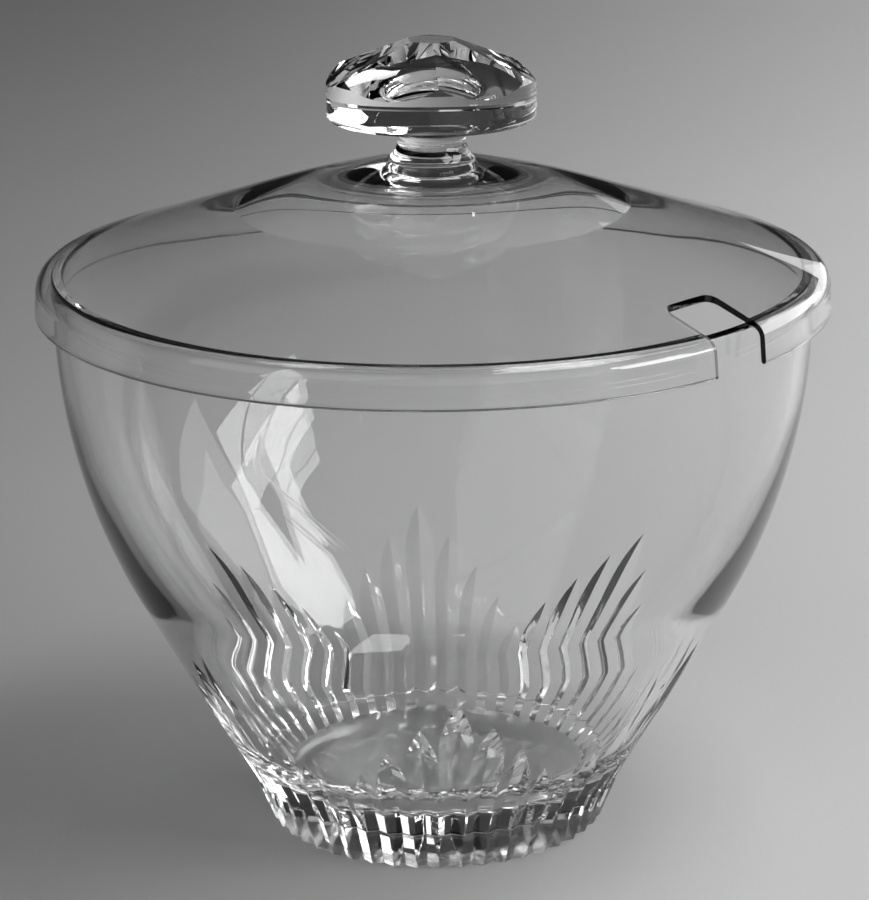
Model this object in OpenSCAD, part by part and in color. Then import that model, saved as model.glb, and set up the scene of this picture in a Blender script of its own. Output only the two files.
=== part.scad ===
// Punch bowl of clear cut glass with a loose lid, a ladle notch in the lid and a faceted knob.
// Millimetres, +Z up. The origin is the middle of the foot's rest face, and the notch faces -Y.

/* [Bowl] */
// Height of the rim above the table
bowl_h = 181.5; // [171.5:1:191.5]
// Outer radius of the straight rim
rim_r = 119; // [115:1:123]
// Glass thickness at the rim
rim_wall = 4; // [3.4:0.1:4.6]
// Rounding of the rim's edges
rim_round = 1; // [0.6:0.1:1.4]
// Height of the straight band under the rim
rim_band = 12; // [8:1:16]
// Radius of the curve that swells the upper wall
swell_r = 192; // [184:1:200]
// Glass thickness of the straight lower wall, before cutting
lower_wall = 6.5; // [6:0.1:7]
// Outer radius of the wall at the heel, before cutting
heel_r = 60; // [58:1:62]
// Height of the heel above the table
heel_h = 13; // [11:1:15]
// How far the foot stands out under the wall at the heel
ledge = 0.5; // [0.4:0.1:0.8]
// How far the foot tapers in from the heel to the table
foot_taper = 5; // [4:0.5:6]
// Thickness of the solid base
base_t = 20; // [18:1:23]
// Rounding between the floor and the wall inside
floor_round = 30; // [26:1:34]
// Radius of the hollow ground under the foot
hollow_r = 40; // [34:1:44]
// Depth of the hollow ground under the foot
hollow_depth = 1; // [0.6:0.1:1.6]

/* [Cutting] */
// Groups of flutes round the bowl, also the facets of the knob
peaks = 6; // [5:1:7]
// Flutes from one side of a peak to the middle of the next valley
flutes_per_side = 4; // [3:1:4]
// Turn of one peak from the notch
cut_turn = 18; // [0:1:59]
// Width of a flute across the wall
flute_w = 11.4; // [10:0.1:12]
// Depth of a flute
flute_depth = 2.4; // [2:0.1:2.8]
// Length of the longest flute, up the wall from the heel
flute_long = 64; // [60:1:66]
// Drop from the tip of one flute to the next
flute_step = 11.5; // [9:0.5:12]
// Length of the pointed end of a flute
flute_point = 20; // [16:1:24]
// Depth of the short flutes on the foot
foot_flute_depth = 2.4; // [2.25:0.05:2.5]

/* [Lid] */
// Glass thickness of the skirt and the shoulder
lid_wall = 1.8; // [1.6:0.1:2.4]
// Air between the lid and the rounded rim that carries it
seat_gap = 0.3; // [0.2:0.05:0.5]
// Radial play between the rim and the skirt
rim_gap = 3.2; // [2.6:0.1:3.6]
// How far the skirt hangs below the rim
skirt_drop = 9.8; // [8.5:0.1:11.5]
// Lean of the skirt, outwards and down
skirt_flare = 5.5; // [3:0.5:7]
// Rounding of the lid's shoulder
shoulder_r = 5; // [4.2:0.1:5.8]
// Slope of the lid's straight outer part
cone_slope = 18.4; // [17.4:0.1:19.4]
// Radius of the swell of the lid's middle
dome_r = 520; // [440:10:600]
// Radius of the lid's middle, which has a round dish underneath
dish_r = 61; // [58:1:64]
// Glass thickness at the edge of the dish
dish_wall = 3; // [2.7:0.1:3.3]
// Glass thickness between the dish and the knob
dish_top = 3.5; // [3.2:0.1:4.2]

/* [Ladle notch] */
// Width of the notch
notch_w = 22; // [18:1:26]
// How far the notch reaches in from the skirt
notch_reach = 22; // [20:1:26]
// Rounding of the notch's inner corners
notch_round = 3.5; // [2.5:0.5:6]

/* [Knob] */
// Radius of the knob's head
knob_r = 32.6; // [30:0.2:34]
// Radius of the knob's foot on the lid
knob_foot_r = 13.5; // [12.5:0.1:15]
// Radius of the neck at its waist
neck_r = 10.6; // [9.6:0.1:11.4]
// Radius of the neck's hollow curve
neck_curve_r = 8; // [7.5:0.1:9]
// Height of the neck, from the lid to the head
neck_h = 11; // [10:0.5:12]
// Rise of the head's underside, from the neck to its edge
under_rise = 2.4; // [1.8:0.1:3]
// Height of the bevel under the girdle
under_bevel_h = 0.8; // [0.5:0.1:1.2]
// Inset of the bevel under the girdle
under_bevel_in = 0.6; // [0.4:0.1:0.9]
// Height of the upright girdle
girdle_h = 11.6; // [10.6:0.1:12.6]
// Height of the crown above the girdle
crown_h = 11.7; // [11:0.1:12.4]
// Slope of the crown's facets
facet_slope = 25; // [24:0.5:27]
// Half the width of the table on top, across its flats
table_r = 6.9; // [5.5:0.1:8]
// Height of the bevel over the girdle
crown_bevel_h = 2.5; // [2:0.1:3]
// Inset of the bevel over the girdle
crown_bevel_in = 1; // [0.6:0.1:1.4]

/* [Hidden] */
$fn = 96;
glass = [0.86, 0.9, 0.92, 0.45];
// Reach of a cutting shape past the glass that it cuts
over = 3;
// Shift of a swell's circle, which makes it cross the cone that it runs into
bite = 0.002;

// Bowl wall: a straight cone from the heel runs into the swell, which ends upright at the rim band
band_z = bowl_h - rim_band;
swell_c = [rim_r - swell_r, band_z];
heel = [heel_r, heel_h];
wall_tilt = atan2(band_z - heel_h, heel_r - swell_c.x) - acos(swell_r / norm(heel - swell_c));
wall_out = [cos(wall_tilt), -sin(wall_tilt)];
swell_start = swell_c + swell_r * wall_out;

// Inside of the bowl: the same cone and swell, set in by the glass
cavity_r = rim_r - rim_wall;
cavity_swell_r = swell_r + (rim_wall * cos(wall_tilt) - lower_wall) / (1 - cos(wall_tilt));
cavity_c = [cavity_r - cavity_swell_r, band_z];
cavity_swell_start = cavity_c + cavity_swell_r * wall_out;
round_z = base_t + floor_round;
round_x = (heel * wall_out - lower_wall - floor_round - round_z * wall_out.y) / wall_out.x;
round_end = [round_x, round_z] + floor_round * wall_out;
hollow_ball_r = (pow(hollow_r, 2) + pow(hollow_depth, 2)) / (2 * hollow_depth);

// Flutes: a straight V along the wall, which a cutting wheel of this radius leaves in a point
flutes = 2 * peaks * flutes_per_side;
flute_spread = flute_w / 2 / flute_depth;
wheel_r = (pow(flute_point, 2) + pow(flute_depth, 2)) / (2 * flute_depth);
foot_top_r = heel_r + ledge;
foot_tilt = atan2(foot_taper, heel_h);
foot_wall_h = norm([foot_taper, heel_h]);

// Lid: a cone over the rim runs into the dome of the middle, and a shoulder circle joins it to the skirt
pad_land = 0.5;
pad_r = knob_foot_r + pad_land;
rim_c = [rim_r - rim_round, bowl_h - rim_round];
cone_out = [sin(cone_slope), cos(cone_slope)];
cone_over_rim = rim_c + (rim_round + seat_gap + lid_wall) * cone_out;
dome_edge = [dish_r, cone_over_rim.y + (cone_over_rim.x - dish_r) * tan(cone_slope)];
dome_c = dome_edge - dome_r * cone_out;
pad_z = dome_c.y + sqrt(pow(dome_r, 2) - pow(pad_r - dome_c.x, 2));
skirt_z = bowl_h - skirt_drop;
skirt_r = rim_r + rim_gap + lid_wall / cos(skirt_flare) + skirt_drop * tan(skirt_flare);
skirt_up = [-sin(skirt_flare), cos(skirt_flare)];
skirt_out = [cos(skirt_flare), sin(skirt_flare)];
shoulder_foot = [skirt_r, skirt_z] - shoulder_r * skirt_out;
shoulder_h = ((dome_edge - shoulder_foot) * cone_out - shoulder_r) / (skirt_up * cone_out);
shoulder_c = shoulder_foot + shoulder_h * skirt_up;
lip_r = lid_wall / 2;

// Dish under the lid's middle
dish_edge = dome_edge - [0, dish_wall];
dish_rise = pad_z - dish_top - dish_edge.y;
dish_ball_r = (pow(dish_r, 2) + pow(dish_rise, 2)) / (2 * dish_rise);

// Knob heights, from the flat on the lid upwards
under_z = pad_z + neck_h;
bevel_z = under_z + under_rise;
girdle_z = bevel_z + under_bevel_h;
crown_z = girdle_z + girdle_h;
table_z = crown_z + crown_h;
facet_reach = 2 * knob_r;

// Part of a circle between two heights, on the +X side of the axis
module arc_band(centre, radius, low, high) {
    intersection() {
        translate(centre) circle(r = radius, $fn = 360);
        translate([0, low]) square([centre.x + radius + over, high - low]);
    }
}

// Outline of the uncut wall from the heel up, filled to the axis
module wall_outside() {
    polygon([[0, heel_h], heel, swell_start, [0, swell_start.y]]);
    arc_band(swell_c - [0, bite], swell_r, swell_start.y - over, band_z);
    translate([0, band_z]) square([rim_r, rim_band - rim_round]);
    translate([0, band_z]) square([rim_r - rim_round, rim_band]);
    translate([rim_r - rim_round, bowl_h - rim_round]) circle(r = rim_round);
}

// Outline of the space inside the bowl, with the rim's inner edge rounded off
module bowl_inside() {
    translate([round_x, round_z]) circle(r = floor_round);
    polygon([[0, base_t], [round_x, base_t], round_end, cavity_swell_start, [0, cavity_swell_start.y]]);
    arc_band(cavity_c - [0, bite], cavity_swell_r, cavity_swell_start.y - over, band_z);
    translate([0, band_z]) square([cavity_r, rim_band + over]);
    difference() {
        translate([0, bowl_h - rim_round]) square([cavity_r + rim_round, rim_round + over]);
        translate([cavity_r + rim_round, bowl_h - rim_round]) circle(r = rim_round);
    }
}

// Section of a V cut of the given depth, which opens towards -Y
module flute_section(depth) {
    half = (depth + over) * flute_spread;
    polygon([[0, depth], [-half, -over], [half, -over]]);
}

// One flute on the wall: a straight shaft from below the heel and the wheel's run-out in a point
module wall_flute(length) {
    shaft = length - flute_point;
    begin = asin(max(0, -over - shaft) / wheel_r);
    end = asin((flute_point + over) / wheel_r);
    translate([0, -heel_r, heel_h]) rotate([wall_tilt, 0, 0]) {
        if (shaft > -over) translate([0, 0, -over]) linear_extrude(shaft + over) flute_section(flute_depth);
        translate([0, flute_depth - wheel_r, shaft])
            rotate([90, 0, 90])
                rotate([0, 0, begin])
                    rotate_extrude(angle = end - begin)
                        translate([wheel_r - flute_depth, 0]) rotate(-90) flute_section(flute_depth);
    }
}

// One short flute on the foot, from below the table to above the heel
module foot_flute() {
    translate([0, -foot_top_r, heel_h]) rotate([foot_tilt, 0, 0]) translate([0, 0, -foot_wall_h - over])
        linear_extrude(foot_wall_h + 2 * over) flute_section(foot_flute_depth);
}

// Distance in flutes from a place in the row to the nearest peak
function from_peak(place) = abs(((place + flutes_per_side) % (2 * flutes_per_side)) - flutes_per_side);

// Wall with its flutes, which end on the flat top of the foot
module wall() {
    difference() {
        rotate_extrude() difference() {
            wall_outside();
            bowl_inside();
        }
        for (place = [0 : flutes - 1]) rotate(cut_turn + place * 360 / flutes)
            wall_flute(flute_long - flute_step * from_peak(place));
    }
}

// Fluted foot with the hollow ground into its rest face
module foot() {
    difference() {
        cylinder(h = heel_h, r1 = foot_top_r - foot_taper, r2 = foot_top_r);
        for (place = [0 : flutes - 1]) rotate(cut_turn + place * 360 / flutes) foot_flute();
        translate([0, 0, hollow_depth - hollow_ball_r]) sphere(r = hollow_ball_r);
    }
}

module bowl() {
    color(glass) {
        wall();
        foot();
    }
}

// Outline of the lid's skirt and cone, set in by part of the glass and filled to the axis
module cone_outline(inset, low, end) {
    arc_band(shoulder_c, shoulder_r - inset, low, shoulder_c.y + shoulder_r);
    polygon([
        [0, low],
        [skirt_r - inset / cos(skirt_flare), skirt_z] + (low - skirt_z) / skirt_up.y * skirt_up,
        shoulder_c + (shoulder_r - inset) * skirt_out,
        shoulder_c,
        shoulder_c + (shoulder_r - inset) * cone_out,
        end,
        [0, end.y]
    ]);
}

// Plan of the ladle notch, open past the skirt
module notch_plan() {
    inner = skirt_r - notch_reach;
    for (side = [-1, 1])
        translate([side * (notch_w / 2 - notch_round), -inner - notch_round]) circle(r = notch_round);
    translate([-notch_w / 2, -skirt_r - over]) square([notch_w, notch_reach - notch_round + over]);
    translate([-notch_w / 2 + notch_round, -skirt_r - over])
        square([notch_w - 2 * notch_round, notch_reach + over]);
}

module lid() {
    color(glass) difference() {
        rotate_extrude() {
            difference() {
                union() {
                    cone_outline(0, skirt_z, dome_edge);
                    arc_band(dome_c + [0, bite], dome_r, dome_edge.y - over, pad_z);
                }
                cone_outline(lid_wall, skirt_z - over, dish_edge);
                translate([0, pad_z - dish_top - dish_ball_r]) circle(r = dish_ball_r, $fn = 360);
            }
            translate([skirt_r, skirt_z] - lip_r * [1 / cos(skirt_flare), 0]) circle(r = lip_r);
        }
        translate([0, 0, skirt_z - over]) linear_extrude(pad_z - skirt_z) notch_plan();
    }
}

// Outline of the knob before its crown is cut: foot and neck, then the head
module knob_outline() {
    difference() {
        translate([0, pad_z]) square([knob_foot_r, neck_h]);
        translate([neck_r + neck_curve_r, pad_z + neck_h - neck_curve_r / 2]) circle(r = neck_curve_r);
    }
    polygon([
        [0, under_z],
        [knob_foot_r, under_z],
        [knob_r - under_bevel_in, bevel_z],
        [knob_r, girdle_z],
        [knob_r, crown_z],
        [knob_r - crown_bevel_in, crown_z + crown_bevel_h],
        [knob_r - crown_bevel_in, table_z],
        [0, table_z]
    ]);
}

module knob() {
    color(glass) difference() {
        rotate_extrude() knob_outline();
        for (k = [0 : peaks - 1]) rotate(cut_turn + (2 * k + 1) * 180 / peaks)
            translate([0, -table_r, table_z]) rotate([facet_slope, 0, 0])
                translate([-facet_reach / 2, -facet_reach, 0]) cube(facet_reach);
    }
}

bowl();
lid();
knob();
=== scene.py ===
"""Lidded punch bowl of clear cut glass on a pale table, in soft studio light."""

import math

import bmesh
import bpy
import numpy as np
from mathutils import Matrix, Vector


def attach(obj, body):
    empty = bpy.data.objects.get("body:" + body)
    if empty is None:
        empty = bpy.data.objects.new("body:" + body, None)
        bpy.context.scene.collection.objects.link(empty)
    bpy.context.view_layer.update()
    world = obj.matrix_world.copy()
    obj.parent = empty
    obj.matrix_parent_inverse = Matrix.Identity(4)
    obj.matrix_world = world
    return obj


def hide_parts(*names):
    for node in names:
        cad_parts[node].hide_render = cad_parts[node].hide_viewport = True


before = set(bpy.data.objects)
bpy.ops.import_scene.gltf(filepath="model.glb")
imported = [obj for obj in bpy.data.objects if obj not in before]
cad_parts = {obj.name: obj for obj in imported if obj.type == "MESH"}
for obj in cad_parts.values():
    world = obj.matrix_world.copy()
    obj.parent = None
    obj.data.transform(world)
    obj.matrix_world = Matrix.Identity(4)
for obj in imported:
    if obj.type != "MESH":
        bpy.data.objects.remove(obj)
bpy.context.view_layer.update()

scene = bpy.context.scene
MM = 0.001

# Bowl, in millimetres as in the part's source
BOWL_H = 181.5
RIM_R = 119
RIM_WALL = 4
RIM_ROUND = 1
RIM_BAND = 12
SWELL_R = 192
LOWER_WALL = 6.5
HEEL_R = 60
HEEL_H = 13
LEDGE = 0.5
FOOT_TAPER = 5
BASE_T = 20
FLOOR_ROUND = 30
HOLLOW_R = 40
HOLLOW_DEPTH = 1
# The flat underside ends this far inside the foot, behind its flutes
UNDERSIDE_INSET = 3

# Cutting
PEAKS = 6
FLUTES_PER_SIDE = 4
FLUTES = 2 * PEAKS * FLUTES_PER_SIDE
CUT_TURN = 18
FLUTE_W = 11.4
FLUTE_DEPTH = 2.4
FLUTE_LONG = 64
FLUTE_STEP = 11.5
FLUTE_POINT = 20
FOOT_FLUTE_DEPTH = 2.4
SPREAD = FLUTE_W / 2 / FLUTE_DEPTH
WHEEL_R = (FLUTE_POINT**2 + FLUTE_DEPTH**2) / (2 * FLUTE_DEPTH)

# Lid and ladle notch
LID_WALL = 1.8
SEAT_GAP = 0.3
RIM_GAP = 3.2
SKIRT_DROP = 9.8
SKIRT_FLARE = math.radians(5.5)
SHOULDER_R = 5
CONE_SLOPE = math.radians(18.4)
DOME_R = 520
DISH_R = 61
DISH_WALL = 3
DISH_TOP = 3.5
NOTCH_W = 22
NOTCH_REACH = 22
NOTCH_ROUND = 3.5

# Knob
KNOB_R = 32.6
KNOB_FOOT_R = 13.5
PAD_LAND = 0.5
NECK_R = 10.6
NECK_CURVE_R = 8
NECK_H = 11
UNDER_RISE = 2.4
UNDER_BEVEL_H = 0.8
UNDER_BEVEL_IN = 0.6
GIRDLE_H = 11.6
CROWN_H = 11.7
FACET_SLOPE = math.radians(25)
TABLE_R = 6.9
CROWN_BEVEL_H = 2.5
CROWN_BEVEL_IN = 1

# Wall of the bowl: a straight cone from the heel that runs into the swell
BAND_Z = BOWL_H - RIM_BAND
SWELL_C = np.array((RIM_R - SWELL_R, BAND_Z))
HEEL = np.array((HEEL_R, HEEL_H))
HEEL_TURN = math.atan2(BAND_Z - HEEL_H, HEEL_R - SWELL_C[0])
TILT = HEEL_TURN - math.acos(SWELL_R / math.dist(HEEL, SWELL_C))
WALL_OUT = np.array((math.cos(TILT), -math.sin(TILT)))
WALL_UP = np.array((math.sin(TILT), math.cos(TILT)))
FOOT_TOP_R = HEEL_R + LEDGE
FOOT_TILT = math.atan2(FOOT_TAPER, HEEL_H)

# Edges that turn by more than this stay crisp
CRISP = math.radians(12)


def arc(centre, radius, start, end, steps):
    """Points of a circle in the profile plane, with angles from +r towards +z."""
    turn = np.linspace(start, end, steps + 1)
    return np.column_stack((centre[0] + radius * np.cos(turn), centre[1] + radius * np.sin(turn)))


def line(start, end, steps):
    return np.linspace(start, end, steps + 1)


def chain(*runs):
    """One profile from runs that follow each other, without doubled points."""
    points = list(runs[0])
    for run in runs[1:]:
        points += [p for p in run if math.dist(p, points[-1]) > 1e-6]
    return np.array(points)


def lathe(name, radii, heights, angles):
    """Closed mesh of a turned piece: rows along the profile, columns round it, a point at each end.

    Angles run from -Y towards +X. All three arrays have the same shape, or one that stretches to it.
    """
    radii, heights, angles = np.broadcast_arrays(radii, heights, angles)
    ring = np.stack((radii * np.sin(angles), -radii * np.cos(angles), heights), axis=-1) * MM
    rows, columns = radii.shape
    points = np.vstack((ring[0, :1], ring[1:-1].reshape(-1, 3), ring[-1, :1]))

    def at(row, column):
        return 1 + (row - 1) * columns + column % columns

    last = len(points) - 1
    faces = [(0, at(1, c + 1), at(1, c)) for c in range(columns)]
    for row in range(1, rows - 2):
        after = row + 1
        faces += [(at(row, c), at(row, c + 1), at(after, c + 1), at(after, c)) for c in range(columns)]
    faces += [(at(rows - 2, c), at(rows - 2, c + 1), last) for c in range(columns)]
    mesh = bpy.data.meshes.new(name)
    mesh.from_pydata(points.tolist(), [], faces)
    return mesh


def add_piece(mesh, body, node, slot, *materials):
    """Puts a mesh on its body in place of its CAD node, smooth with crisp cut edges."""
    mesh.validate()
    mesh.polygons.foreach_set("use_smooth", [True] * len(mesh.polygons))
    mesh.set_sharp_from_angle(angle=CRISP)
    mesh.update()
    piece = bpy.data.objects.new(mesh.name, mesh)
    scene.collection.objects.link(piece)
    for material in materials:
        mesh.materials.append(material)
    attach(piece, body)
    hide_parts(node)


# Bowl
HALF_PITCH = math.pi / FLUTES
FLUTE_TURN = math.radians(CUT_TURN) + 2 * HALF_PITCH * np.arange(FLUTES)
FROM_PEAK = np.abs((np.arange(FLUTES) + FLUTES_PER_SIDE) % (2 * FLUTES_PER_SIDE) - FLUTES_PER_SIDE)
FLUTE_LENGTH = FLUTE_LONG - FLUTE_STEP * FROM_PEAK
# Share of half a pitch that the columns keep at a tip, at a ridge and on plain wall
TIP_SHARE = 0.08
RIDGE_SHARE = 0.04
PLAIN_SHARE = 0.6
# Length over which the columns pass from a tip to plain wall
TIP_FADE = 8
# Stands for the axis, where a row has no width
LEAST_R = 0.001


def flute_depth(flute, slant):
    """Depth of a flute at a slant height: even along the shaft, then the wheel's run-out."""
    run_out = np.clip(slant - (FLUTE_LENGTH[flute] - FLUTE_POINT), 0, 2 * FLUTE_POINT)
    return FLUTE_DEPTH - WHEEL_R + np.sqrt(WHEEL_R**2 - run_out**2)


def wall_columns(slant, radius):
    """Angles of one row's columns, set on the flutes' middles, edges and ridges."""
    depth = np.clip(flute_depth(np.arange(FLUTES), slant), 0, None)
    radius = max(radius, LEAST_R)
    curve = radius / math.cos(TILT)
    reach = curve * (np.sqrt(1 / SPREAD**2 + 2 * depth / curve) - 1 / SPREAD) / radius
    fade = np.clip((slant - FLUTE_LENGTH) / TIP_FADE, 0, 1)
    fade = fade * fade * (3 - 2 * fade)
    edge = np.maximum(reach, HALF_PITCH * (TIP_SHARE + (PLAIN_SHARE - TIP_SHARE) * fade))
    other = np.roll(edge, -1)
    middle = HALF_PITCH + (edge - other) / 2
    ridge = HALF_PITCH * RIDGE_SHARE
    end = 2 * HALF_PITCH
    near = np.minimum(edge, middle - ridge)
    far = end - np.minimum(other, end - middle - ridge)
    columns = (
        0 * near,
        near / 3,
        near * 2 / 3,
        near,
        (near + middle) / 2,
        middle,
        (middle + far) / 2,
        far,
        far + (end - far) / 3,
        far + (end - far) * 2 / 3,
    )
    return (FLUTE_TURN[:, None] + np.stack(columns, axis=1)).ravel()


EVEN_COLUMNS = wall_columns(FLUTE_LONG + 2 * TIP_FADE, RIM_R)


def wall_cut(slant, radius, angles):
    """How far the flutes push one row in, level with the table."""
    place = np.floor((angles - FLUTE_TURN[0]) / (2 * HALF_PITCH)).astype(int)
    cut = np.zeros_like(angles)
    for flute in (place - 1, place, place + 1, place + 2):
        turn = angles - (FLUTE_TURN[0] + 2 * HALF_PITCH * flute)
        side = np.zeros_like(angles)
        for _ in range(3):
            depth = flute_depth(flute % FLUTES, slant - side * math.sin(TILT))
            across = np.abs((radius - side) * np.sin(turn))
            sag = radius * (1 - np.cos(turn)) * math.cos(TILT)
            side = np.clip((depth - across / SPREAD - sag) / math.cos(TILT), 0, None)
        cut = np.maximum(cut, side)
    return cut


def foot_cut(radius, angles):
    """The same for the foot's short flutes, which run from table to heel."""
    turn = (angles - FLUTE_TURN[0] + HALF_PITCH) % (2 * HALF_PITCH) - HALF_PITCH
    sag = radius * (1 - np.cos(turn)) * math.cos(FOOT_TILT)
    depth = FOOT_FLUTE_DEPTH - np.abs(radius * np.sin(turn)) / SPREAD - sag
    return np.clip(depth / math.cos(FOOT_TILT), 0, None)


def bowl_mesh():
    ball = (HOLLOW_R**2 + HOLLOW_DEPTH**2) / (2 * HOLLOW_DEPTH)
    foot_r = FOOT_TOP_R - FOOT_TAPER
    under = chain(
        arc((0, HOLLOW_DEPTH - ball), ball, math.pi / 2, math.acos(HOLLOW_R / ball), 6),
        line((HOLLOW_R, 0), (foot_r - UNDERSIDE_INSET, 0), 3),
    )
    foot = line((foot_r, 0), (FOOT_TOP_R, HEEL_H), 8)
    short = FLUTE_LONG - FLUTE_STEP * FLUTES_PER_SIDE
    slants = np.concatenate((np.linspace(0, short, 25), np.linspace(short, FLUTE_LONG, 69)[1:]))
    wall = HEEL + slants[:, None] * WALL_UP

    cavity_r = RIM_R - RIM_WALL
    cavity_swell_r = SWELL_R + (RIM_WALL * math.cos(TILT) - LOWER_WALL) / (1 - math.cos(TILT))
    cavity_c = (cavity_r - cavity_swell_r, BAND_Z)
    round_z = BASE_T + FLOOR_ROUND
    round_x = (HEEL @ WALL_OUT - LOWER_WALL - FLOOR_ROUND - round_z * WALL_OUT[1]) / WALL_OUT[0]
    cone_end = np.array((round_x, round_z)) + FLOOR_ROUND * WALL_OUT
    cavity_swell = arc(cavity_c, cavity_swell_r, 0, -TILT, 20)
    upper = chain(
        line(wall[-1], SWELL_C + SWELL_R * WALL_OUT, 4)[1:],
        arc(SWELL_C, SWELL_R, -TILT, 0, 20),
        line((RIM_R, BAND_Z), (RIM_R, BOWL_H - RIM_ROUND), 3),
        arc((RIM_R - RIM_ROUND, BOWL_H - RIM_ROUND), RIM_ROUND, 0, math.pi / 2, 8),
        line((RIM_R - RIM_ROUND, BOWL_H), (cavity_r + RIM_ROUND, BOWL_H), 2),
        arc((cavity_r + RIM_ROUND, BOWL_H - RIM_ROUND), RIM_ROUND, math.pi / 2, math.pi, 8),
        line((cavity_r, BOWL_H - RIM_ROUND), (cavity_r, BAND_Z), 3),
        cavity_swell,
        line(cavity_swell[-1], cone_end, 6),
        arc((round_x, round_z), FLOOR_ROUND, -TILT, -math.pi / 2, 14),
        line((round_x, BASE_T), (0, BASE_T), 4),
    )

    columns = len(EVEN_COLUMNS)
    radii, heights, angles = [], [], []
    for r, z in under:
        radii.append(np.full(columns, r))
        heights.append(z)
        angles.append(EVEN_COLUMNS)
    for r, z in foot:
        radii.append(r - foot_cut(r, EVEN_COLUMNS))
        heights.append(z)
        angles.append(EVEN_COLUMNS)
    for slant, (r, z) in zip(slants, wall):
        turn = wall_columns(slant, r)
        radii.append(r - wall_cut(slant, r, turn))
        heights.append(z)
        angles.append(turn)
    for slant, (r, z) in enumerate(upper, 1):
        radii.append(np.full(columns, r))
        heights.append(z)
        angles.append(wall_columns(FLUTE_LONG + 2 * slant, r))
    return lathe("cut_bowl", np.array(radii), np.array(heights)[:, None], np.array(angles))


# Lid: a cone over the rim, a dome in the middle with a dish underneath, a shoulder and a skirt
PAD_R = KNOB_FOOT_R + PAD_LAND
CONE_OUT = np.array((math.sin(CONE_SLOPE), math.cos(CONE_SLOPE)))
OVER_RIM = (RIM_R - RIM_ROUND, BOWL_H - RIM_ROUND) + (RIM_ROUND + SEAT_GAP + LID_WALL) * CONE_OUT
DOME_EDGE = np.array((DISH_R, OVER_RIM[1] + (OVER_RIM[0] - DISH_R) * math.tan(CONE_SLOPE)))
DOME_C = DOME_EDGE - DOME_R * CONE_OUT
PAD_Z = DOME_C[1] + math.sqrt(DOME_R**2 - (PAD_R - DOME_C[0]) ** 2)
SKIRT_Z = BOWL_H - SKIRT_DROP
SKIRT_R = RIM_R + RIM_GAP + LID_WALL / math.cos(SKIRT_FLARE) + SKIRT_DROP * math.tan(SKIRT_FLARE)
LID_COLUMNS = 384
# A narrow row on each side keeps the dish's edge crisp
CREASE = 0.4
# The cut for the notch starts this far outside the skirt
NOTCH_START = 3


def lid_mesh():
    skirt_up = np.array((-math.sin(SKIRT_FLARE), math.cos(SKIRT_FLARE)))
    skirt_out = np.array((math.cos(SKIRT_FLARE), math.sin(SKIRT_FLARE)))
    skirt_edge = np.array((SKIRT_R, SKIRT_Z))
    shoulder_foot = skirt_edge - SHOULDER_R * skirt_out
    rise = ((DOME_EDGE - shoulder_foot) @ CONE_OUT - SHOULDER_R) / (skirt_up @ CONE_OUT)
    shoulder_c = shoulder_foot + rise * skirt_up
    to_cone = math.pi / 2 - CONE_SLOPE
    to_pad = math.acos((PAD_R - DOME_C[0]) / DOME_R)
    lip_r = LID_WALL / 2 / math.cos(SKIRT_FLARE)
    dish_edge = DOME_EDGE - (0, DISH_WALL)
    dish_rise = PAD_Z - DISH_TOP - dish_edge[1]
    dish_ball = (DISH_R**2 + dish_rise**2) / (2 * dish_rise)
    dish_c = (0, PAD_Z - DISH_TOP - dish_ball)
    to_dish = math.acos(DISH_R / dish_ball)
    outer_shoulder = arc(shoulder_c, SHOULDER_R, to_cone, SKIRT_FLARE, 14)
    inner_shoulder = arc(shoulder_c, SHOULDER_R - LID_WALL, SKIRT_FLARE, to_cone, 12)
    under = line(inner_shoulder[-1], dish_edge, 8)
    by_edge = dish_edge + CREASE * (under[0] - dish_edge) / math.dist(under[0], dish_edge)
    in_dish = to_dish + CREASE / dish_ball
    profile = chain(
        line((0, PAD_Z), (KNOB_FOOT_R, PAD_Z), 4),
        line((KNOB_FOOT_R, PAD_Z), (PAD_R, PAD_Z), 1),
        arc(DOME_C, DOME_R, to_pad, to_cone, 16),
        line(DOME_EDGE, outer_shoulder[0], 8),
        outer_shoulder,
        line(outer_shoulder[-1], skirt_edge, 3),
        arc(skirt_edge - (lip_r, 0), lip_r, 0, -math.pi, 16),
        line(skirt_edge - (2 * lip_r, 0), inner_shoulder[0], 3),
        inner_shoulder,
        under[:-1],
        line(by_edge, dish_edge, 1),
        arc(dish_c, dish_ball, to_dish, in_dish, 1),
        arc(dish_c, dish_ball, in_dish, math.pi / 2, 22),
    )
    angles = np.linspace(0, 2 * math.pi, LID_COLUMNS, endpoint=False)
    whole = lathe("lid_whole", profile[:, :1], profile[:, 1:], angles[None, :])

    inner = SKIRT_R - NOTCH_REACH
    half = NOTCH_W / 2
    outside = -SKIRT_R - NOTCH_START
    corner = half - NOTCH_ROUND
    left = arc((-corner, -inner - NOTCH_ROUND), NOTCH_ROUND, math.pi, math.pi / 2, 8)
    right = arc((corner, -inner - NOTCH_ROUND), NOTCH_ROUND, math.pi / 2, 0, 8)
    plan = chain(np.array([(-half, outside)]), left, right, np.array([(half, outside)]))
    low, high = SKIRT_Z - LID_WALL, PAD_Z
    count = len(plan)
    points = [(x * MM, y * MM, z * MM) for z in (low, high) for x, y in plan]
    faces = [tuple(range(count)), tuple(range(2 * count - 1, count - 1, -1))]
    faces += [(i, i + count, (i + 1) % count + count, (i + 1) % count) for i in range(count)]
    cutter_mesh = bpy.data.meshes.new("notch")
    cutter_mesh.from_pydata(points, [], faces)
    return cut_out(whole, cutter_mesh, "clear_lid")


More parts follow.
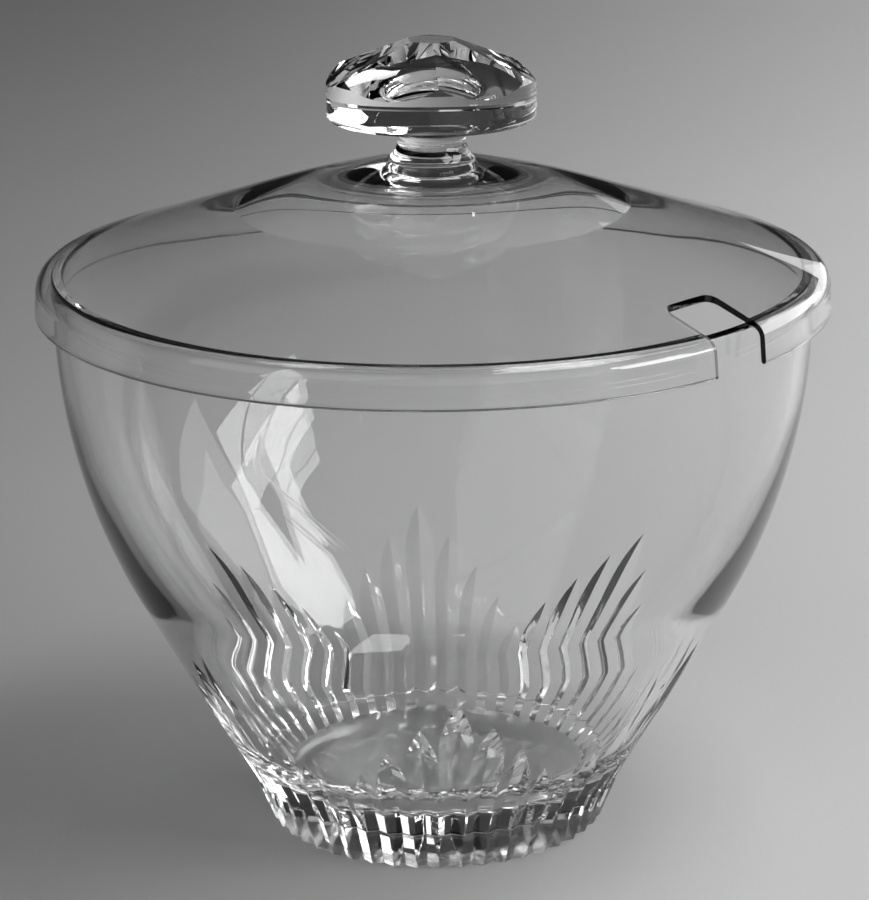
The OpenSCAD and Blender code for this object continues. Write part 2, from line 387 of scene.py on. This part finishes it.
def cut_out(whole, cutter_mesh, name):
    """A new mesh: one closed mesh without what another one takes away."""
    body = bpy.data.objects.new(whole.name, whole)
    cutter = bpy.data.objects.new(cutter_mesh.name, cutter_mesh)
    for made in (body, cutter):
        scene.collection.objects.link(made)
    for mesh in (whole, cutter_mesh):
        shape = bmesh.new()
        shape.from_mesh(mesh)
        bmesh.ops.recalc_face_normals(shape, faces=shape.faces)
        shape.to_mesh(mesh)
        shape.free()
    cut = body.modifiers.new("cut", "BOOLEAN")
    cut.operation = "DIFFERENCE"
    cut.solver = "EXACT"
    cut.object = cutter
    done = body.evaluated_get(bpy.context.evaluated_depsgraph_get())
    mesh = bpy.data.meshes.new_from_object(done)
    mesh.name = name
    for made in (body, cutter):
        bpy.data.objects.remove(made)
    for old in (whole, cutter_mesh):
        bpy.data.meshes.remove(old)
    return mesh


# Knob
UNDER_Z = PAD_Z + NECK_H
BEVEL_Z = UNDER_Z + UNDER_RISE
GIRDLE_Z = BEVEL_Z + UNDER_BEVEL_H
CROWN_Z = GIRDLE_Z + GIRDLE_H
TABLE_Z = CROWN_Z + CROWN_H
FACET_COLUMNS = 48
FACET_ROWS = 24
HALF_FACET = math.pi / PEAKS
# Hollow that the cutting wheel leaves in each crown facet, at its outer end
FACET_HOLLOW = 1.6
# Least height between the girdle's last row and a facet
GIRDLE_STEP = 0.3


def crown_facet(radius, off_middle):
    """Height of a crown facet, at a turn away from its middle."""
    down = (radius * np.cos(off_middle) - TABLE_R) / (KNOB_R - TABLE_R)
    hollow = FACET_HOLLOW * down**2 * (1 - (np.tan(off_middle) / math.tan(HALF_FACET)) ** 2)
    return TABLE_Z - math.tan(FACET_SLOPE) * down * (KNOB_R - TABLE_R) - hollow


def knob_mesh():
    neck_c = (NECK_R + NECK_CURVE_R, PAD_Z + NECK_H - NECK_CURVE_R / 2)
    low = math.pi + math.acos((neck_c[0] - KNOB_FOOT_R) / NECK_CURVE_R)
    high = math.pi - math.asin((UNDER_Z - neck_c[1]) / NECK_CURVE_R)
    neck = arc(neck_c, NECK_CURVE_R, low, high, 20)
    turned = chain(
        line((0, PAD_Z), (KNOB_FOOT_R, PAD_Z), 4),
        line((KNOB_FOOT_R, PAD_Z), neck[0], 2),
        neck,
        line(neck[-1], (KNOB_FOOT_R, UNDER_Z), 2),
        line((KNOB_FOOT_R, UNDER_Z), (KNOB_R - UNDER_BEVEL_IN, BEVEL_Z), 6),
        line((KNOB_R - UNDER_BEVEL_IN, BEVEL_Z), (KNOB_R, GIRDLE_Z), 6),
    )
    columns = PEAKS * FACET_COLUMNS
    angles = math.radians(CUT_TURN) + np.arange(columns) * 2 * math.pi / columns
    off_middle = np.arange(columns) % FACET_COLUMNS * 2 * HALF_FACET / FACET_COLUMNS - HALF_FACET

    # Edge where a facet meets the bevel, or the girdle below it
    edge_r = np.full(columns, float(KNOB_R))
    for _ in range(12):
        edge_z = crown_facet(edge_r, off_middle)
        edge_r = KNOB_R - CROWN_BEVEL_IN * np.clip((edge_z - CROWN_Z) / CROWN_BEVEL_H, 0, 1)
    girdle_top = np.minimum(CROWN_Z, edge_z - GIRDLE_STEP)
    up = np.linspace(0, 1, 5)[1:, None]
    inwards = np.linspace(0, 1, FACET_ROWS + 1)[:, None]
    facet_r = edge_r + (TABLE_R / np.cos(off_middle) - edge_r) * inwards
    table_r = facet_r[-1] * np.array((2 / 3, 1 / 3, 0))[:, None]
    level = np.ones(columns)
    radii = np.vstack((turned[:, :1] * level, KNOB_R * level * np.ones_like(up), facet_r, table_r))
    heights = np.vstack(
        (
            turned[:, 1:] * level,
            GIRDLE_Z + (girdle_top - GIRDLE_Z) * up,
            crown_facet(facet_r, off_middle),
            TABLE_Z * np.ones_like(table_r),
        )
    )
    return lathe("cut_knob", radii, heights, angles[None, :])


# Materials
GLASS_IOR = 1.52
# Height over which the foot's wear fades, in metres
WEAR_RISE = 0.0012


class Link:
    """An output socket in a node tree. Arithmetic on it adds Math nodes."""

    def __init__(self, tree, socket=None):
        self.tree = tree
        self.socket = socket

    def node(self, kind, settings=None, sockets=None, out=0):
        """Adds a node: its settings first, then the values or links of its sockets."""
        made = self.tree.nodes.new(kind)
        for name, value in (settings or {}).items():
            setattr(made, name, value)
        for name, value in (sockets or {}).items():
            if isinstance(value, Link):
                self.tree.links.new(value.socket, made.inputs[name])
            else:
                made.inputs[name].default_value = value
        return Link(self.tree, made.outputs[out] if made.outputs else None)

    def math(self, operation, first, second=0.0):
        return self.node("ShaderNodeMath", {"operation": operation}, {0: first, 1: second})

    def __add__(self, other):
        return self.math("ADD", self, other)

    __radd__ = __add__

    def __mul__(self, other):
        return self.math("MULTIPLY", self, other)

    __rmul__ = __mul__

    def __sub__(self, other):
        return self.math("SUBTRACT", self, other)

    def __rsub__(self, other):
        return self.math("SUBTRACT", other, self)

    def along(self, direction):
        """Length of a place or direction along another direction."""
        return self.node(
            "ShaderNodeVectorMath", {"operation": "DOT_PRODUCT"}, {0: self, 1: tuple(direction)}, out=1
        )

    def step(self, low, high):
        """0 below low, 1 above high, smooth between."""
        return self.node(
            "ShaderNodeMapRange",
            {"interpolation_type": "SMOOTHSTEP"},
            {"Value": self, "From Min": low, "From Max": high},
        )


def new_material(name):
    material = bpy.data.materials.new(name)
    material.use_nodes = True
    tree = material.node_tree
    tree.nodes.clear()
    return material, Link(tree)


def noise(start, place, scale, detail=2.0, roughness=0.5):
    return start.node(
        "ShaderNodeTexNoise",
        None,
        {"Vector": place, "Scale": scale, "Detail": detail, "Roughness": roughness},
    )


def grey(level):
    return (level, level, level)


def tone(start, factor, dark, pale):
    """Colour between two tones."""
    return start.node(
        "ShaderNodeMix",
        {"data_type": "RGBA"},
        {0: factor, 6: (*dark, 1), 7: (*pale, 1)},
        out=2,
    )


def cut_glass(name, wave, wear_low=None):
    """Clear polished glass: faint waves, smudges, fine scratches, and wear on a face that rests."""
    material, start = new_material(name)
    place = start.node("ShaderNodeTexCoord", None, None, out=3)
    waves = noise(start, place, 22.0, 1.0)
    smudge = noise(start, place, 35.0, 4.0, 0.6).step(0.55, 0.8)
    fine = noise(start, place, 2600.0, 2.0)
    scratch_place = start.node(
        "ShaderNodeMapping", None, {"Vector": place, "Rotation": (0.3, 0.2, 0.6), "Scale": (900, 40, 900)}
    )
    scratch = noise(start, scratch_place, 1.0, 2.0).step(0.7, 0.78)
    rough = 0.004 + 0.02 * smudge + 0.03 * scratch * smudge
    if wear_low is not None:
        height = start.node("ShaderNodeSeparateXYZ", None, {0: place}, out=2)
        wear = (1 - height.step(wear_low, wear_low + WEAR_RISE)) * fine.step(0.35, 0.65)
        rough = rough + 0.3 * wear
    bump = start.node(
        "ShaderNodeBump", None, {"Strength": wave, "Distance": 0.001, "Height": waves + 0.002 * fine}
    )
    shader = start.node(
        "ShaderNodeBsdfPrincipled",
        None,
        {
            "Base Color": tone(start, smudge, (0.985, 0.988, 0.988), (0.955, 0.96, 0.96)),
            "Roughness": rough,
            "IOR": GLASS_IOR,
            "Transmission Weight": 1.0,
            "Normal": bump,
        },
    )
    start.node("ShaderNodeOutputMaterial", None, {"Surface": shader})
    return material


def joint_film():
    """Clear joint between knob and lid: no light turns aside in it."""
    material, start = new_material("joint_film")
    shader = start.node("ShaderNodeBsdfTransparent", None, {"Color": (1, 1, 1, 1)})
    start.node("ShaderNodeOutputMaterial", None, {"Surface": shader})
    return material


def table_paper():
    """Matt paper with fibres, its colour painted paler to the right as painted light from that side."""
    material, start = new_material("table_paper")
    place = start.node("ShaderNodeTexCoord", None, None, out=3)
    fibre = noise(start, place, 700.0, 5.0, 0.65)
    cloud = noise(start, place, 3.0, 3.0)
    # Painted light: the base colour grows paler towards the right, standing in for light that falls from
    # that side; cloud and fibre are the paper's own tone.
    pale = 0.85 * place.along(RIGHT).step(-0.35, 0.35) + 0.1 * cloud + 0.05 * fibre
    shader = start.node(
        "ShaderNodeBsdfPrincipled",
        None,
        {
            "Base Color": tone(start, pale, grey(0.42), grey(0.8)),
            "Roughness": 0.75 + 0.1 * fibre,
            "Normal": start.node(
                "ShaderNodeBump", None, {"Strength": 0.15, "Distance": 0.0004, "Height": fibre}
            ),
        },
    )
    start.node("ShaderNodeOutputMaterial", None, {"Surface": shader})
    return material


def face_the_joint(mesh):
    """Gives the flat faces between knob and lid their own material slot."""
    for face in mesh.polygons:
        centre = face.center
        level = abs(centre.z - PAD_Z * MM) < 1e-6 and abs(face.normal.z) > 0.99
        if level and math.hypot(centre.x, centre.y) < KNOB_FOOT_R * MM:
            face.material_index = 1


bowl_glass = cut_glass("bowl_glass", wave=0.12, wear_low=0.0)
lid_glass = cut_glass("lid_glass", wave=0.12)
knob_glass = cut_glass("knob_glass", wave=0.03)
film = joint_film()

bowl, lid, knob = bowl_mesh(), lid_mesh(), knob_mesh()
add_piece(bowl, "bowl", "bowl", "bowl_glass", bowl_glass)
add_piece(lid, "lid", "lid", "lid_glass", lid_glass, film)
add_piece(knob, "lid", "knob", "knob_glass", knob_glass, film)
face_the_joint(lid)
face_the_joint(knob)

# Table, lights and camera, placed as seen from the camera: right, away and up from the foot's middle
VIEW_TURN = math.radians(46)
RIGHT = Vector((math.cos(VIEW_TURN), -math.sin(VIEW_TURN), 0))
AWAY = Vector((math.sin(VIEW_TURN), math.cos(VIEW_TURN), 0))
UP = Vector((0, 0, 1))
PAPER_HALF = 4.0
# The paper lies a hair under the foot
PAPER_DROP = 0.0002


def studio(right, away, up):
    return RIGHT * right + AWAY * away + UP * up


def softbox(name, place, target, size, power):
    lamp = bpy.data.lights.new(name, "AREA")
    lamp.shape = "RECTANGLE"
    lamp.size, lamp.size_y = size
    lamp.energy = power
    box = bpy.data.objects.new(name, lamp)
    scene.collection.objects.link(box)
    box.location = studio(*place)
    box.rotation_euler = (studio(*target) - box.location).to_track_quat("-Z", "Y").to_euler()


corners = ((-1, -1), (1, -1), (1, 1), (-1, 1))
table_mesh = bpy.data.meshes.new("table")
table_mesh.from_pydata(
    [tuple(studio(PAPER_HALF * x, PAPER_HALF * y, -PAPER_DROP)) for x, y in corners], [], [(0, 1, 2, 3)]
)
table = bpy.data.objects.new("table", table_mesh)
scene.collection.objects.link(table)
table_mesh.materials.append(table_paper())

softbox("window_low", (1.0, -0.36, 0.5), (0, -0.36, 0.5), (0.9, 0.18), 3.4)
softbox("window_high", (1.0, -0.55, 0.7), (0, -0.55, 0.7), (0.6, 0.22), 2.6)
softbox("side", (0.95, 0.55, 0.6), (0, 0, 0.1), (1.0, 0.6), 4)
softbox("far_wall", (0.85, 1.6, 0.4), (0, 1.5, 0.1), (1.4, 0.6), 3.6)
softbox("top", (0.4, 0.0, 1.3), (0.05, 0, 0.1), (0.6, 0.4), 4.4)
softbox("front", (-0.7, -0.7, 0.9), (-0.1, -0.1, 0), (1.2, 1.0), 2.2)

# Dim room, paler on the side of the window, with a grey backdrop over the table's far edge
world = bpy.data.worlds.new("studio")
world.use_nodes = True
world.node_tree.nodes.clear()
sky = Link(world.node_tree)
outlook = sky.node("ShaderNodeTexCoord", None, None, out=0)
paleness = outlook.along(0.8 * RIGHT - 0.6 * AWAY).step(-0.1, 0.9)
room = sky.node("ShaderNodeBackground", None, {"Color": tone(sky, paleness, grey(0.02), grey(0.42))})
backdrop = sky.node("ShaderNodeBackground", None, {"Color": (*grey(0.1), 1)})
seen = sky.node("ShaderNodeLightPath", None, None, out=0)
sky.node(
    "ShaderNodeOutputWorld",
    None,
    {"Surface": sky.node("ShaderNodeMixShader", None, {0: seen, 1: room, 2: backdrop})},
)
scene.world = world

CAMERA_FAR = 1.0
CAMERA_UP = 0.43405
CAMERA_PITCH = math.radians(17.387)
CAMERA_ROLL = math.radians(-0.5)
FRAME_SIDE = 900
FOCAL_PX = 3276.8
camera_data = bpy.data.cameras.new("camera")
camera_data.sensor_width = 36
camera_data.lens = FOCAL_PX / FRAME_SIDE * camera_data.sensor_width
camera = bpy.data.objects.new("camera", camera_data)
scene.collection.objects.link(camera)
look = AWAY * math.cos(CAMERA_PITCH) - UP * math.sin(CAMERA_PITCH)
above = RIGHT.cross(look)
turned = Matrix((RIGHT, above, -look)).transposed() @ Matrix.Rotation(CAMERA_ROLL, 3, "Z")
camera.matrix_world = Matrix.Translation(studio(0, -CAMERA_FAR, CAMERA_UP)) @ turned.to_4x4()
bpy.context.scene.camera = camera

scene.view_settings.view_transform = "Standard"
scene.cycles.max_bounces = 24
scene.cycles.transmission_bounces = 24
scene.cycles.glossy_bounces = 8
scene.cycles.transparent_max_bounces = 16
scene.cycles.blur_glossy = 0.5
